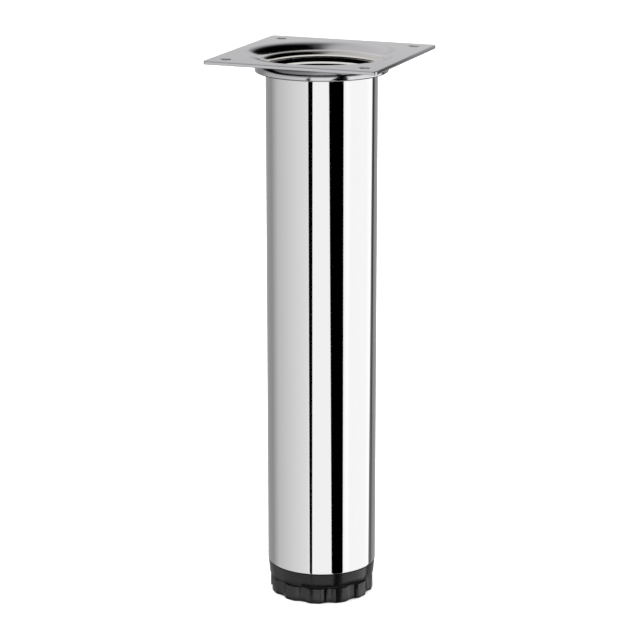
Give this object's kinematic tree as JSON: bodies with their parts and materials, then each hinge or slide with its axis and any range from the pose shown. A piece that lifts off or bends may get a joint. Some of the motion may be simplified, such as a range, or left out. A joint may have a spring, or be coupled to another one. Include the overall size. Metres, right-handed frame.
{
  "type": "furniture leg",
  "caption": "Round chromed furniture leg held in the drawn dish of a square steel mounting plate, with a fluted screw foot in its lower end for levelling.",
  "frame": {"origin": "on the floor under the tube's axis, at the middle of the foot's underside", "axes": "+Z along the tube, from the foot up to the mounting plate; the plate's sides lie along X and Y"},
  "size_m": [0.096, 0.096, 0.302],
  "materials": {
    "plate_steel": "satin nickel plated sheet",
    "chrome_tube": "bright chrome",
    "socket_plastic": "moulded black, slight sheen",
    "zinc_nut": "zinc plated",
    "zinc_stud": "zinc plated",
    "foot_plastic": "moulded black, slight sheen"
  },
  "bodies": {
    "leg": {"mounting_plate": "plate_steel", "leg_tube": "chrome_tube", "foot_socket": "socket_plastic", "socket_nut": "zinc_nut"},
    "stud": {"adjuster_stud": "zinc_stud"},
    "foot": {"fluted_foot": "foot_plastic"}
  },
  "joints": [
    {"name": "foot_travel", "type": "slide", "parent": "leg", "child": "stud", "axis": [0, 0, -1], "range_m": [0, 0.02]},
    {"name": "foot_turn", "type": "hinge", "parent": "stud", "child": "foot", "pos_m": [0, 0, 0.005], "axis": [0, 0, -1], "range_deg": [0, 4800]}
  ],
  "couplings": [
    {"joint": "foot_travel", "follows": "foot_turn", "m_per_rad": 0.00023873}
  ]
}
